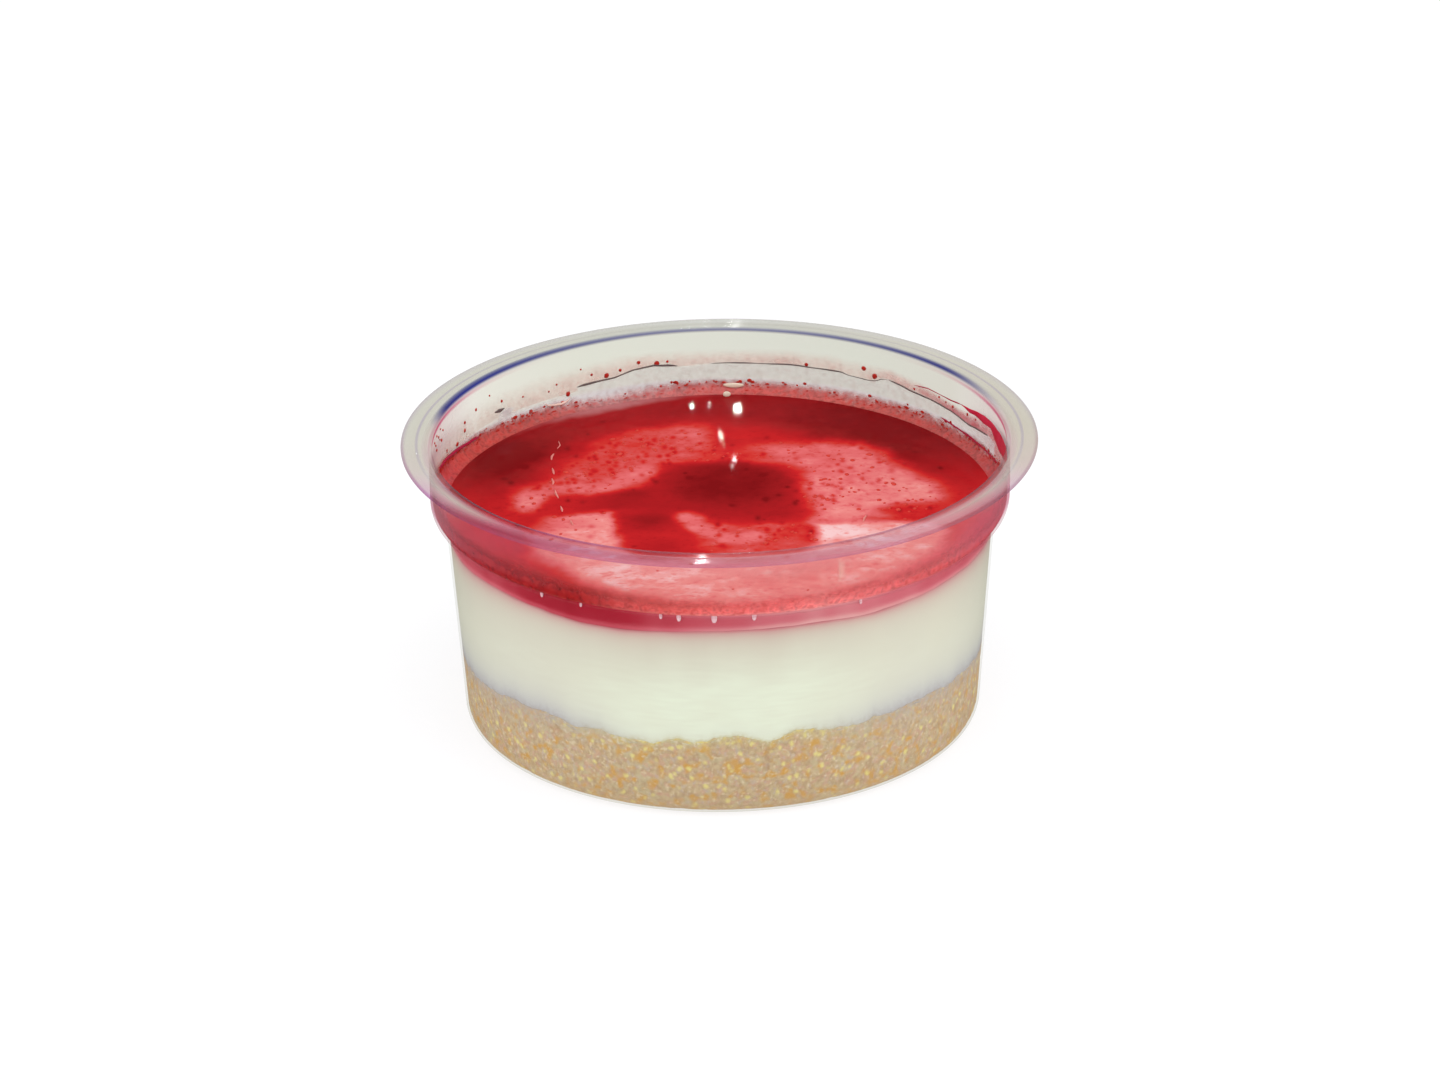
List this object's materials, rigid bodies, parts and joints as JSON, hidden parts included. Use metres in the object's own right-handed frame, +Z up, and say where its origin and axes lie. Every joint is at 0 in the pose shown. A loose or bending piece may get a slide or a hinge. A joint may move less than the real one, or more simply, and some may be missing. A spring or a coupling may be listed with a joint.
{
  "type": "strawberry cheesecake cup",
  "caption": "Single-serve cheesecake in a round clear plastic cup: biscuit base, white cheesecake layer and strawberry sauce swirled on top.",
  "frame": {"origin": "middle of the cup's underside, on the surface that it stands on", "axes": "+Z up along the cup's axis, -Y towards the side the picture was taken from, +X to that view's right"},
  "size_m": [0.0954, 0.0954, 0.0444],
  "materials": {
    "clear_plastic": "clear thin plastic with a faint grey-green tint, glossy",
    "biscuit": "pressed biscuit crumb, tan with orange-brown and pale yellow grains, dull",
    "cheesecake": "smooth cream-white cheesecake, softly satin",
    "strawberry_sauce": "wet glossy red sauce, pink where it is thin over the cheesecake, with fine dark specks"
  },
  "bodies": {
    "root": {"cup": "clear_plastic", "biscuit_base": "biscuit", "cheesecake": "cheesecake", "strawberry_topping": "strawberry_sauce"}
  },
  "joints": []
}
